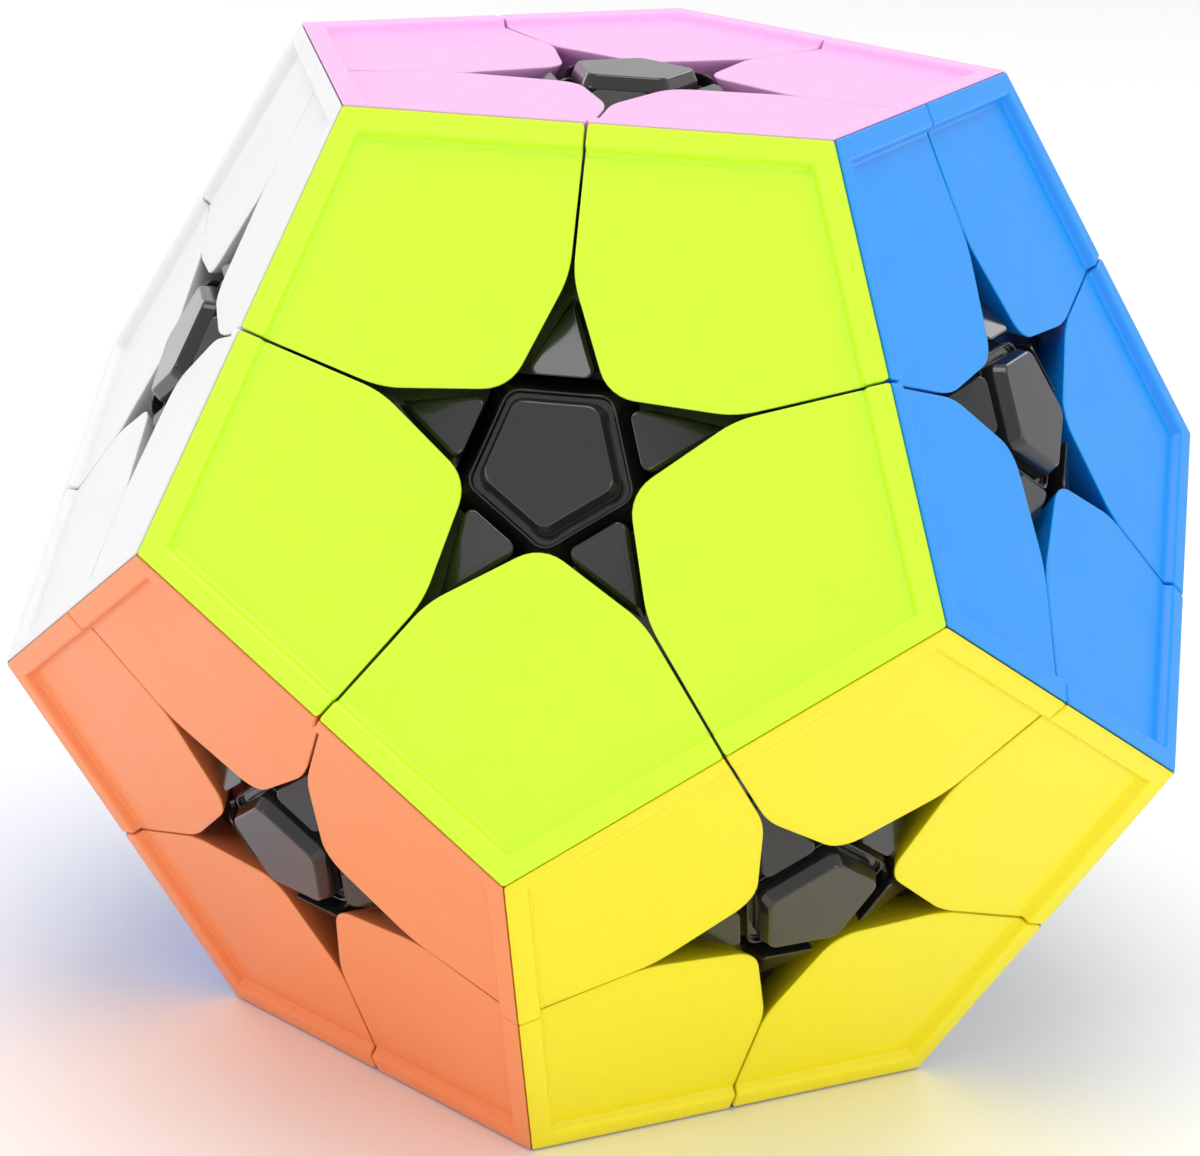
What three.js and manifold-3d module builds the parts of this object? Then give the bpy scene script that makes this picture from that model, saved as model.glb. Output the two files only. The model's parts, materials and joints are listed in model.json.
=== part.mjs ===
// A twisty puzzle in the shape of a regular dodecahedron.
//
// Twelve layers turn about a ball-shaped core. Each layer has a centre held down by a screw,
// five inner edges whose tips show in the star around the centre, and five corners, each of
// which carries three of the sixty coloured tiles. Units are millimetres, +Z is up and the
// origin is the middle of the core.

import * as THREE from "three";
import { mergeVertices } from "three/addons/utils/BufferGeometryUtils.js";
import Module from "manifold-3d";

// ---- Driving dimensions ----

const EDGE = 28; // one side of each pentagonal face
const GAP = 0.3; // clearance between neighbouring pieces
const OWN_SHARE = 0.57; // how much of the gap is taken from the piece inside a layer
const LATHE_SIDES = 30; // facets round each turning surface, six to each fifth of a turn

const RIM_WIDTH = 1.7; // raised border along the outer sides of every face, at its foot
const RIM_SLOPE = 0.3; // how much narrower the border is on top
const FIELD_DEPTH = 0.6; // how far the field inside the border lies below it

const STAR_NECK = 4.65; // from the face's centre to the inner point of a tile

const STEM_ANGLE = 50; // half angle of a layer through the stems of the corners, degrees
const FOOT_ANGLE = 55; // half angle of a layer through the feet, degrees
const FOOT_TOP = 20; // the feet lie between these two distances from the middle
const FOOT_BOTTOM = 15.5;

const TIP_TOP = 30.45; // height of an inner edge's tip at its near side, along the face's axis
const TIP_FALL = 24; // how steeply a tip's top falls from there to its far end, degrees
const TIP_BASE = 4.75; // from the face's centre to the near side of a tip
const TIP_FOOT = 28.9; // where the near side of a tip meets the ledge in front of it
const RIDGE_TOP = 29.9; // height of an inner edge's back, straight below the outer edge

const SMALL_SIDES = 8; // facets round the screws, their bores and the core's posts

const CORE_RADIUS = 13.2;
const POST_RADIUS = 2.0;
const POST_TOP = 19.9;
const SCREW_RADIUS = 0.9;
const SCREW_END = 9;
const SCREW_HEAD_RADIUS = 2.2;
const SCREW_HEAD_BASE = 27;
const SCREW_HEAD_TOP = 28.4;

const CENTRE_BASE = 20.3;
const CENTRE_WAIST = 25.8; // where the centre's sides turn from the stems to the star's walls
const CENTRE_CLEARANCE = 0.165; // from the centre's sides to the layers beside it
const CENTRE_FLOOR = 22;
const CENTRE_WELL_TOP = 29.4;
const CENTRE_WELL_RADIUS = 2.7;
const CAP_TOP = 31;
const CAP_FLAT = 3.2; // from the middle to the sides of the cap's flat top
const CAP_CHAMFER = 0.8; // how far the chamfer round the flat top comes down

// ---- Regular dodecahedron ----

const PHI = (1 + Math.sqrt(5)) / 2;
const FACE_HEIGHT = (EDGE / 2) * Math.sqrt(2.5 + 1.1 * Math.sqrt(5)); // centre to face plane
const FACE_INRADIUS = EDGE / (2 * Math.tan(Math.PI / 5));
const NEIGHBOUR_COS = 1 / Math.sqrt(5); // between the axes of two faces that share an edge
const NEIGHBOUR_SIN = 2 / Math.sqrt(5);
const NEIGHBOUR_ANGLE = THREE.MathUtils.radToDeg(Math.acos(NEIGHBOUR_COS));
const RING_TILT = Math.asin(NEIGHBOUR_COS); // the ring faces' axes against the horizontal
const FIFTH = (2 * Math.PI) / 5;

// The faces: the top, a ring of five that look up, a ring of five that look down, the bottom.
// A face's turn is counted in degrees round +Z, and 0 is along +X.
const FACES = [
  { name: "pink", ring: 2, turn: 0, colour: 0xfac4f4 },
  { name: "lime", ring: 1, turn: -90, colour: 0xd2fb46 },
  { name: "sky", ring: 1, turn: -18, colour: 0x58a8fb },
  { name: "red", ring: 1, turn: 54, colour: 0xe23a34 },
  { name: "cream", ring: 1, turn: 126, colour: 0xf3e6bd },
  { name: "white", ring: 1, turn: -162, colour: 0xf4f4f4 },
  { name: "yellow", ring: -1, turn: -54, colour: 0xffe92e },
  { name: "grey", ring: -1, turn: 18, colour: 0x9aa0a6 },
  { name: "green", ring: -1, turn: 90, colour: 0x1f9150 },
  { name: "blue", ring: -1, turn: 162, colour: 0x2b4fc4 },
  { name: "orange", ring: -1, turn: -126, colour: 0xff9a5c },
  { name: "purple", ring: -2, turn: 0, colour: 0x8a55c8 },
];

// The three layers that can be turned at the same time, because they share no piece.
const TURNING_LAYERS = ["pink", "yellow", "blue"];

function faceAxis(face) {
  if (Math.abs(face.ring) === 2) return new THREE.Vector3(0, 0, Math.sign(face.ring));
  const turn = THREE.MathUtils.degToRad(face.turn);
  const tilt = face.ring * RING_TILT;
  return new THREE.Vector3(
    Math.cos(tilt) * Math.cos(turn),
    Math.cos(tilt) * Math.sin(turn),
    Math.sin(tilt),
  );
}

for (const face of FACES) face.axis = faceAxis(face);

const touch = (a, b) => a !== b && Math.abs(a.axis.dot(b.axis) - NEIGHBOUR_COS) < 0.01;

// Every set of two faces that share an edge, and of three that share a vertex.
const EDGES = [];
const CORNERS = [];
FACES.forEach((a, i) => {
  FACES.slice(i + 1).forEach((b, j) => {
    if (!touch(a, b)) return;
    EDGES.push([a, b]);
    for (const c of FACES.slice(i + j + 2)) {
      if (touch(a, c) && touch(b, c)) CORNERS.push([a, b, c]);
    }
  });
});

const middle = (faces) =>
  faces.reduce((sum, f) => sum.add(f.axis), new THREE.Vector3()).normalize();

// The frame whose +Z is along a direction and whose +X leans towards another one.
function frameOf(along, towards) {
  const x = towards.clone().addScaledVector(along, -towards.dot(along)).normalize();
  return new THREE.Matrix4().makeBasis(x, along.clone().cross(x), along);
}

// A face's own frame, with +X towards the middle of one of its edges.
const faceFrame = (face) => frameOf(face.axis, FACES.find((f) => touch(f, face)).axis);

// ---- Solids ----

const wasm = await Module();
wasm.setup();

function solid(geometry) {
  const bare = new THREE.BufferGeometry();
  bare.setAttribute("position", geometry.getAttribute("position").clone());
  if (geometry.index) bare.setIndex(geometry.index);
  const merged = mergeVertices(bare, 1e-4);
  return new wasm.Manifold(
    new wasm.Mesh({
      numProp: 3,
      vertProperties: new Float32Array(merged.attributes.position.array),
      triVerts: new Uint32Array(merged.index.array),
    }),
  );
}

function geometryOf(body) {
  const mesh = body.getMesh();
  const geometry = new THREE.BufferGeometry();
  geometry.setAttribute("position", new THREE.BufferAttribute(mesh.vertProperties, 3));
  geometry.setIndex(new THREE.BufferAttribute(mesh.triVerts, 1));
  geometry.computeVertexNormals();
  return geometry;
}

// A profile of [radius, height] pairs turned round +Z.
function turned(profile, sides) {
  const points = profile.map(([r, h]) => new THREE.Vector2(r, h));
  return new THREE.LatheGeometry(points, sides).rotateX(Math.PI / 2);
}

// A pentagonal frustum on +Z. Its flat sides face +X and every fifth of a turn from there.
function pentagonal(levels) {
  const profile = levels.map(([inradius, h]) => [inradius / Math.cos(FIFTH / 2), h]);
  const closed = [[0, levels[0][1]], ...profile, [0, levels[levels.length - 1][1]]];
  return turned(closed, 5).rotateZ(Math.PI / 2 + FIFTH / 2);
}

const inFrame = (geometry, frame) => solid(geometry.clone().applyMatrix4(frame));

const polar = (distance, degrees) => {
  const angle = THREE.MathUtils.degToRad(degrees);
  return [distance * Math.sin(angle), distance * Math.cos(angle)];
};

// The surface that every layer turns on, as [radius, height] about the layer's axis, from
// outside the puzzle in to the core. The outer part is the widest cone that leaves the layers
// on either side free to turn. The flat part is what opens the star round each centre, and
// its height sets how far the inner points of the tiles are from the centre.
const FIELD = FACE_HEIGHT - FIELD_DEPTH;
const NECK_REACH = STAR_NECK * Math.cos(FIFTH / 2);
const NECK_HEIGHT = FIELD * NEIGHBOUR_COS + NECK_REACH * NEIGHBOUR_SIN;
const STEM_SLOPE = Math.tan(THREE.MathUtils.degToRad(STEM_ANGLE));
const TURNING_SURFACE = [
  [2 * EDGE * PHI, 2 * EDGE],
  [NECK_HEIGHT * PHI, NECK_HEIGHT],
  [NECK_HEIGHT * STEM_SLOPE, NECK_HEIGHT],
  polar(FOOT_TOP, STEM_ANGLE),
  polar(FOOT_TOP, FOOT_ANGLE),
  polar(FOOT_BOTTOM, FOOT_ANGLE),
];

// A profile moved sideways, away from the part of the layer that it bounds.
function moved(profile, distance) {
  const normals = profile.slice(1).map(([r, h], i) => {
    const [dr, dh] = [r - profile[i][0], h - profile[i][1]];
    const length = Math.hypot(dr, dh);
    return [-dh / length, dr / length];
  });
  return profile.map(([r, h], i) => {
    const a = normals[Math.max(i - 1, 0)];
    const b = normals[Math.min(i, normals.length - 1)];
    const scale = distance / (1 + a[0] * b[0] + a[1] * b[1]);
    return [r - (a[0] + b[0]) * scale, h - (a[1] + b[1]) * scale];
  });
}

// The space that a layer takes when it turns, grown (or shrunk) on all sides.
function layerSpace(grown) {
  const side = moved(TURNING_SURFACE, -grown).reverse();
  const top = side[side.length - 1][1];
  return turned([[0, FOOT_BOTTOM - grown], ...side, [0, top]], LATHE_SIDES);
}

// A piece keeps a little further inside its own layers than outside the others, so that two
// walls that face each other across the middle of a gap are each cut by one surface only.
const OWN_SPACE = layerSpace(-OWN_SHARE * GAP);
const OTHER_SPACE = layerSpace((1 - OWN_SHARE) * GAP);

// The part of a body that belongs to the given layers and to no other.
function shareOf(body, faces) {
  let share = body;
  for (const face of faces) share = share.intersect(inFrame(OWN_SPACE, faceFrame(face)));
  for (const face of FACES.filter((f) => !faces.includes(f))) {
    share = share.subtract(inFrame(OTHER_SPACE, faceFrame(face)));
  }
  return share.decompose().sort((a, b) => b.volume() - a.volume())[0];
}

// A half space below a plane at a distance along a direction.
function below(direction, distance, towards) {
  const size = 4 * EDGE;
  const box = new THREE.BoxGeometry(size, size, size).translate(0, 0, distance - size / 2);
  return inFrame(box, frameOf(direction, towards));
}

// ---- Pieces, each made once in its seed place ----

function dodecahedronWithRims() {
  const [first, ...rest] = FACES.map((face) =>
    below(face.axis, FACE_HEIGHT, FACES.find((f) => touch(f, face)).axis),
  );
  let body = rest.reduce((kept, half) => kept.intersect(half), first);
  const recess = pentagonal([
    [FACE_INRADIUS - RIM_WIDTH, FIELD],
    [FACE_INRADIUS - RIM_WIDTH + RIM_SLOPE, FACE_HEIGHT],
    [FACE_INRADIUS, FACE_HEIGHT + EDGE],
  ]);
  for (const face of FACES) body = body.subtract(inFrame(recess, faceFrame(face)));
  return body;
}

const cornerSeed = CORNERS[0];
const corner = shareOf(dodecahedronWithRims(), cornerSeed);

// A half space below the sloping top of the tip that an edge has on one of its two faces.
function belowTip(face, other) {
  const outwards = new THREE.Vector3().setFromMatrixColumn(frameOf(face.axis, other.axis), 0);
  const fall = THREE.MathUtils.degToRad(TIP_FALL);
  const up = face.axis.clone().multiplyScalar(Math.cos(fall));
  up.addScaledVector(outwards, Math.sin(fall));
  return below(up, TIP_TOP * Math.cos(fall) + TIP_BASE * Math.sin(fall), other.axis);
}

const edgeSeed = EDGES[0];
function innerEdge() {
  const [a, b] = edgeSeed;
  const block = belowTip(a, b)
    .intersect(belowTip(b, a))
    .intersect(below(middle(edgeSeed), RIDGE_TOP, a.axis));
  const star = pentagonal([
    [TIP_BASE, TIP_FOOT],
    [TIP_BASE, FACE_HEIGHT],
  ]);
  const open = edgeSeed.reduce((body, f) => body.subtract(inFrame(star, faceFrame(f))), block);
  return shareOf(open, edgeSeed);
}

// How far from a face's axis the neighbouring layers begin, at a height along that axis.
function centreReach(height) {
  const underNeck = (NECK_HEIGHT - height * NEIGHBOUR_COS) / NEIGHBOUR_SIN;
  const besideStem = height * Math.tan(THREE.MathUtils.degToRad(NEIGHBOUR_ANGLE - STEM_ANGLE));
  return Math.min(underNeck, besideStem) - CENTRE_CLEARANCE;
}

// The centre, with its cap on: a hub with a well for the screw's head and the spring.
function centre() {
  const shoulder = CAP_TOP - CAP_CHAMFER;
  const outside = pentagonal([
    [centreReach(CENTRE_BASE), CENTRE_BASE],
    [centreReach(CENTRE_WAIST), CENTRE_WAIST],
    [centreReach(shoulder), shoulder],
    [CAP_FLAT, CAP_TOP],
  ]);
  const bore = SCREW_RADIUS + GAP;
  const well = turned(
    [
      [0, CENTRE_BASE - 1],
      [bore, CENTRE_BASE - 1],
      [bore, CENTRE_FLOOR],
      [CENTRE_WELL_RADIUS, CENTRE_FLOOR],
      [CENTRE_WELL_RADIUS, CENTRE_WELL_TOP],
      [0, CENTRE_WELL_TOP],
    ],
    SMALL_SIDES,
  );
  return solid(outside).subtract(solid(well));
}

// The screw, cut to its core diameter.
function screw() {
  const shape = turned(
    [
      [0, SCREW_END],
      [SCREW_RADIUS, SCREW_END],
      [SCREW_RADIUS, SCREW_HEAD_BASE],
      [SCREW_HEAD_RADIUS, SCREW_HEAD_BASE],
      [SCREW_HEAD_RADIUS, SCREW_HEAD_TOP],
      [0, SCREW_HEAD_TOP],
    ],
    SMALL_SIDES,
  );
  return solid(shape);
}

function core() {
  const bore = SCREW_RADIUS + GAP;
  let body = solid(new THREE.IcosahedronGeometry(CORE_RADIUS, 2));
  const post = turned(
    [
      [0, SCREW_END - 1],
      [POST_RADIUS, SCREW_END - 1],
      [POST_RADIUS, POST_TOP],
      [0, POST_TOP],
    ],
    SMALL_SIDES,
  );
  const hole = turned(
    [
      [0, SCREW_END - GAP],
      [bore, SCREW_END - GAP],
      [bore, POST_TOP + 1],
      [0, POST_TOP + 1],
    ],
    SMALL_SIDES,
  );
  for (const face of FACES) body = body.add(inFrame(post, faceFrame(face)));
  for (const face of FACES) body = body.subtract(inFrame(hole, faceFrame(face)));
  return body;
}

// ---- The assembly ----

const BLACK = { color: 0x1d1d1f, roughness: 0.32, metalness: 0 };
const STEEL = { color: 0xb9bcc0, roughness: 0.35, metalness: 1 };
const DARK = { color: 0x3a3a3e, roughness: 0.5, metalness: 0 };

function node(name, geometry, look, frame, seedFrame) {
  const mesh = new THREE.Mesh(geometry, new THREE.MeshStandardMaterial(look));
  mesh.name = name;
  const turn = frame.clone();
  if (seedFrame) turn.multiply(seedFrame.clone().invert());
  mesh.quaternion.setFromRotationMatrix(turn);
  return mesh;
}

const named = (kind, faces) => [kind, ...faces.map((f) => f.name)].join("_");

// The layer that carries a piece: a turning one that it belongs to, or none.
const carrier = (faces) => faces.find((f) => TURNING_LAYERS.includes(f.name));

const puzzle = new THREE.Group();
puzzle.name = "dodecahedron_puzzle";

const layers = new Map();
for (const face of FACES.filter((f) => TURNING_LAYERS.includes(f.name))) {
  const group = new THREE.Group();
  group.name = `${face.name}_layer`;
  layers.set(face, group);
  puzzle.add(group);
}
const place = (mesh, faces) => (layers.get(carrier(faces)) ?? puzzle).add(mesh);

puzzle.add(node("core", geometryOf(core()), DARK, new THREE.Matrix4()));

const centreShape = geometryOf(centre());
const screwShape = geometryOf(screw());
for (const face of FACES) {
  const frame = faceFrame(face);
  place(node(`centre_${face.name}`, centreShape, BLACK, frame), [face]);
  puzzle.add(node(`screw_${face.name}`, screwShape, STEEL, frame));
}

const pairFrame = (pair) => frameOf(middle(pair), pair[0].axis);
const edgeShape = geometryOf(innerEdge());
for (const pair of EDGES.filter(carrier)) {
  const mesh = node(named("edge", pair), edgeShape, BLACK, pairFrame(pair), pairFrame(edgeSeed));
  place(mesh, pair);
}

const cornerShape = geometryOf(corner);
for (const faces of CORNERS) {
  const look = { color: faces[0].colour, roughness: 0.35, metalness: 0 };
  const frames = [pairFrame(faces), pairFrame(cornerSeed)];
  place(node(named("corner", faces), cornerShape, look, ...frames), faces);
}

export default puzzle;
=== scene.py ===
import json
import math

import bmesh
import bpy
from mathutils import Matrix, Vector

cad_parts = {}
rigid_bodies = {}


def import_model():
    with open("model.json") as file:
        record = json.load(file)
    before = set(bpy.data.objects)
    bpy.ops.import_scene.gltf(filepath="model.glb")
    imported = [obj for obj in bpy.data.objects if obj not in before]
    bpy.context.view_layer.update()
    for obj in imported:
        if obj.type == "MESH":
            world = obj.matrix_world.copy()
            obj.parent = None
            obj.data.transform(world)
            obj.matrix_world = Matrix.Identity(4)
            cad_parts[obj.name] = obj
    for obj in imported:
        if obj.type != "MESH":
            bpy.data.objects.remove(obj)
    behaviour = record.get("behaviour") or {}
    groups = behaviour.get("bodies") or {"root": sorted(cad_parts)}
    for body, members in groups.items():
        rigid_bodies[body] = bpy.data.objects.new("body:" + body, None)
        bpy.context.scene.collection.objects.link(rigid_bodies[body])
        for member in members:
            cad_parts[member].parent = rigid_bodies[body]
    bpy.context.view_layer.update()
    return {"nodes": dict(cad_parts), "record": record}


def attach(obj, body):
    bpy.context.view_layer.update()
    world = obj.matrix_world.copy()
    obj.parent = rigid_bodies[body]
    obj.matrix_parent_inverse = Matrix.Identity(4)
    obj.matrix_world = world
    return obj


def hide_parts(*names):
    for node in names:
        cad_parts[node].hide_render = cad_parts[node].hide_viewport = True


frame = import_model()

bl_info = {
    "name": "Dodecahedron twisty puzzle",
    "version": (1, 0, 0),
    "blender": (4, 5, 0),
    "location": "3D View > Sidebar > Puzzle",
    "description": "Makes the tiles, inner pieces, fasteners and stage of a dodecahedron twisty puzzle",
    "category": "Add Mesh",
}

# ---- The puzzle's plan: a regular dodecahedron, in millimetres ----

MM = 0.001  # the frame is in metres, and every shape below is made in millimetres first
EDGE = 28
PHI = (1 + math.sqrt(5)) / 2
FIFTH = math.tau / 5
HALF_FIFTH = FIFTH / 2
FACE_HEIGHT = EDGE / 2 * math.sqrt(2.5 + 1.1 * math.sqrt(5))
FACE_INRADIUS = EDGE / (2 * math.tan(HALF_FIFTH))
NEIGHBOUR_COS = 1 / math.sqrt(5)  # between the axes of two faces that share an edge
NEIGHBOUR_SIN = 2 / math.sqrt(5)

# Every face: its name, its ring (2 is the top, -2 the bottom) and its turn about +Z, in degrees.
FACES = [
    ("pink", 2, 0),
    ("lime", 1, -90),
    ("sky", 1, -18),
    ("red", 1, 54),
    ("cream", 1, 126),
    ("white", 1, -162),
    ("yellow", -1, -54),
    ("grey", -1, 18),
    ("green", -1, 90),
    ("blue", -1, 162),
    ("orange", -1, -126),
    ("purple", -2, 0),
]

BODY_OF_NODE = {node: body for body, nodes in frame["record"]["behaviour"]["bodies"].items()
                for node in nodes}
CORE_BODY = BODY_OF_NODE["core"]


def face_axis(ring, turn):
    if abs(ring) == 2:
        return Vector((0, 0, math.copysign(1, ring)))
    tilt = ring * math.asin(NEIGHBOUR_COS)
    turn = math.radians(turn)
    return Vector((math.cos(tilt) * math.cos(turn), math.cos(tilt) * math.sin(turn), math.sin(tilt)))


NAMES = [name for name, _, _ in FACES]
AXIS = {name: face_axis(ring, turn) for name, ring, turn in FACES}


def touching(a, b):
    return a != b and abs(AXIS[a].dot(AXIS[b]) - NEIGHBOUR_COS) < 0.01


PAIRS = [(a, b) for i, a in enumerate(NAMES) for b in NAMES[i + 1:] if touching(a, b)]
CORNERS = [(a, b, c) for a, b in PAIRS for c in NAMES[NAMES.index(b) + 1:]
           if touching(a, c) and touching(b, c)]


def middle(names):
    return sum((AXIS[name] for name in names), Vector()).normalized()


def frame_of(along, towards):
    """The turned frame with +Z along a direction and +X leaning towards another one."""
    x = (towards - along * towards.dot(along)).normalized()
    return Matrix((x, along.cross(x), along)).transposed().to_4x4()


def face_frame(name):
    """A face's own frame, with +X towards the middle of one of its edges."""
    return frame_of(AXIS[name], next(AXIS[other] for other in NAMES if touching(name, other)))


def body_of_pieces(kind, names):
    """The CAD node that a piece stands for, if there is one, and the body that carries it."""
    node = "_".join([kind, *names])
    return (node, BODY_OF_NODE[node]) if node in BODY_OF_NODE else (None, CORE_BODY)


# ---- The surface that every layer turns on, as the CAD pieces have it ----

GAP = 0.3
OWN_SHARE = 0.57
NECK_HEIGHT = 17.0388  # above the puzzle's middle, where a layer ends under the star
STEM_ANGLE = math.radians(50)
FOOT_ANGLE = math.radians(55)
FOOT_TOP = 20
FOOT_BOTTOM = 15.5
LATHE_SIDES = 120


def polar(distance, angle):
    return (distance * math.sin(angle), distance * math.cos(angle))


TURNING_SURFACE = [
    (2 * EDGE * PHI, 2 * EDGE),
    (NECK_HEIGHT * PHI, NECK_HEIGHT),
    (NECK_HEIGHT * math.tan(STEM_ANGLE), NECK_HEIGHT),
    polar(FOOT_TOP, STEM_ANGLE),
    polar(FOOT_TOP, FOOT_ANGLE),
    polar(FOOT_BOTTOM, FOOT_ANGLE),
]


def moved(profile, distance):
    """A profile moved sideways, away from the part of the layer that it bounds."""
    normals = []
    for (r0, h0), (r1, h1) in zip(profile, profile[1:]):
        length = math.hypot(r1 - r0, h1 - h0)
        normals.append(((h0 - h1) / length, (r1 - r0) / length))
    result = []
    for i, (r, h) in enumerate(profile):
        a = normals[max(i - 1, 0)]
        b = normals[min(i, len(normals) - 1)]
        scale = distance / (1 + a[0] * b[0] + a[1] * b[1])
        result.append((r - (a[0] + b[0]) * scale, h - (a[1] + b[1]) * scale))
    return result


def layer_space(grown):
    """The space that a layer takes when it turns, grown (or shrunk) on all sides, about +Z."""
    side = moved(TURNING_SURFACE, -grown)[::-1]
    return turned([(0, FOOT_BOTTOM - grown), *side, (0, side[-1][1])], LATHE_SIDES)


# ---- Making meshes ----

def mesh_from(points, faces):
    mesh = bpy.data.meshes.new("shape")
    mesh.from_pydata([tuple(p) for p in points], [], faces)
    mesh.validate()
    return mesh


def lofted(rings, closed=False):
    """A solid through rings of points that go round the same way: capped, or joined end to end."""
    count = len(rings[0])
    points = [p for ring in rings for p in ring]
    faces = []
    for i in range(len(rings) if closed else len(rings) - 1):
        low, high = i * count, (i + 1) % len(rings) * count
        for j in range(count):
            k = (j + 1) % count
            faces.append((low + j, low + k, high + k, high + j))
    if not closed:
        faces.append(tuple(range(count))[::-1])
        faces.append(tuple(range(len(points) - count, len(points))))
    return mesh_from(points, faces)


def turned(profile, sides):
    """A profile of (radius, height) pairs from axis to axis, turned round +Z."""
    inner = profile[1:-1]
    points = [(r * math.cos(math.tau * j / sides), r * math.sin(math.tau * j / sides), h)
              for r, h in inner for j in range(sides)]
    bottom, top = len(points), len(points) + 1
    points += [(0, 0, profile[0][1]), (0, 0, profile[-1][1])]
    faces = []
    for j in range(sides):
        k = (j + 1) % sides
        for i in range(len(inner) - 1):
            low, high = i * sides, (i + 1) * sides
            faces.append((low + j, low + k, high + k, high + j))
        faces.append((bottom, k, j))
        last = (len(inner) - 1) * sides
        faces.append((top, last + j, last + k))
    return mesh_from(points, faces)


def in_frame(mesh, matrix):
    copy = mesh.copy()
    copy.transform(matrix)
    return copy


def finished(mesh, *modifiers):
    """The mesh after modifiers, each given as its type and its settings."""
    holder = bpy.data.objects.new("holder", mesh)
    bpy.context.scene.collection.objects.link(holder)
    for kind, settings in modifiers:
        modifier = holder.modifiers.new(kind.lower(), kind)
        for name, value in settings.items():
            setattr(modifier, name, value)
    result = bpy.data.meshes.new_from_object(
        holder.evaluated_get(bpy.context.evaluated_depsgraph_get()))
    bpy.data.objects.remove(holder)
    return result


def combined(mesh, other, operation):
    """Two closed meshes joined, or one cut by the other: UNION, DIFFERENCE or INTERSECT."""
    tool = bpy.data.objects.new("tool", other)
    bpy.context.scene.collection.objects.link(tool)
    result = finished(mesh, ("BOOLEAN", {"operation": operation, "object": tool, "solver": "MANIFOLD"}))
    bpy.data.objects.remove(tool)
    if not result.polygons:
        raise RuntimeError("a cut left nothing of a piece")
    return result


def cut_by_planes(mesh, planes):
    """Keeps what lies below each plane, given as its normal and its distance from the middle."""
    bm = bmesh.new()
    bm.from_mesh(mesh)
    for normal, distance in planes:
        normal = Vector(normal).normalized()
        everything = bm.verts[:] + bm.edges[:] + bm.faces[:]
        cut = bmesh.ops.bisect_plane(bm, geom=everything, dist=1e-5, plane_co=normal * distance,
                                     plane_no=normal, clear_outer=True)
        rim = [e for e in cut["geom_cut"] if isinstance(e, bmesh.types.BMEdge) and e.is_boundary]
        bmesh.ops.edgeloop_fill(bm, edges=rim)
    bmesh.ops.recalc_face_normals(bm, faces=bm.faces[:])
    bm.to_mesh(mesh)
    bm.free()
    return mesh


def tidied(mesh, angle=0.05):
    """Merges doubled points and flat neighbours, so that each flat side is one face."""
    bm = bmesh.new()
    bm.from_mesh(mesh)
    bmesh.ops.remove_doubles(bm, verts=bm.verts[:], dist=1e-4)
    bmesh.ops.dissolve_limit(bm, angle_limit=math.radians(angle), verts=bm.verts[:],
                             edges=bm.edges[:])
    bmesh.ops.recalc_face_normals(bm, faces=bm.faces[:])
    bm.to_mesh(mesh)
    bm.free()
    return mesh


def arrises_rounded(mesh, width, segments=3, angle=25):
    """Rounds every arris, and keeps the flats beside them flat in the light."""
    for polygon in mesh.polygons:
        polygon.use_smooth = True
    return finished(
        mesh,
        ("BEVEL", {"width": width, "segments": segments, "limit_method": "ANGLE",
                   "angle_limit": math.radians(angle), "use_clamp_overlap": False,
                   "miter_outer": "MITER_SHARP"}),
        ("WEIGHTED_NORMAL", {"mode": "FACE_AREA", "weight": 70}),
    )


def smooth_between(mesh, angle):
    """Shades smooth, but for the arrises sharper than an angle."""
    for polygon in mesh.polygons:
        polygon.use_smooth = True
    mesh.set_sharp_from_angle(angle=math.radians(angle))
    return finished(mesh, ("WEIGHTED_NORMAL", {"mode": "FACE_AREA", "weight": 60, "keep_sharp": True}))


def rounded_outline(corners, steps=6):
    """A closed flat outline with its corners rounded: corners are (x, y, radius), anticlockwise."""
    outline = []
    for i, (x, y, radius) in enumerate(corners):
        here = Vector((x, y))
        before = Vector(corners[i - 1][:2])
        after = Vector(corners[(i + 1) % len(corners)][:2])
        if not radius:
            outline.append(here)
            continue
        into, out = (here - before).normalized(), (after - here).normalized()
        turn = math.atan2(into.cross(out), into.dot(out))
        tangent = radius * math.tan(abs(turn) / 2)
        start = here - into * tangent
        side = math.copysign(1, turn)
        centre = start + Vector((-into.y, into.x)) * radius * side
        spoke = start - centre
        for k in range(steps + 1):
            a = turn * k / steps
            outline.append(centre + Vector((spoke.x * math.cos(a) - spoke.y * math.sin(a),
                                            spoke.x * math.sin(a) + spoke.y * math.cos(a))))
    return outline


def at_height(outline, height):
    return [(p.x, p.y, height) for p in outline]


def placed(name, seed, matrix, material, body, stands_for=()):
    """A copy of a seed mesh as a finished piece: turned into place, scaled to metres, riding."""
    mesh = seed.copy()
    mesh.name = name
    mesh.transform(Matrix.Scale(MM, 4) @ matrix)
    mesh.materials.clear()
    mesh.materials.append(material)
    piece = bpy.data.objects.new(name, mesh)
    bpy.context.scene.collection.objects.link(piece)
    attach(piece, body)
    if stands_for:
        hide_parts(*stands_for)
    return piece


# ---- The shapes ----

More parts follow.
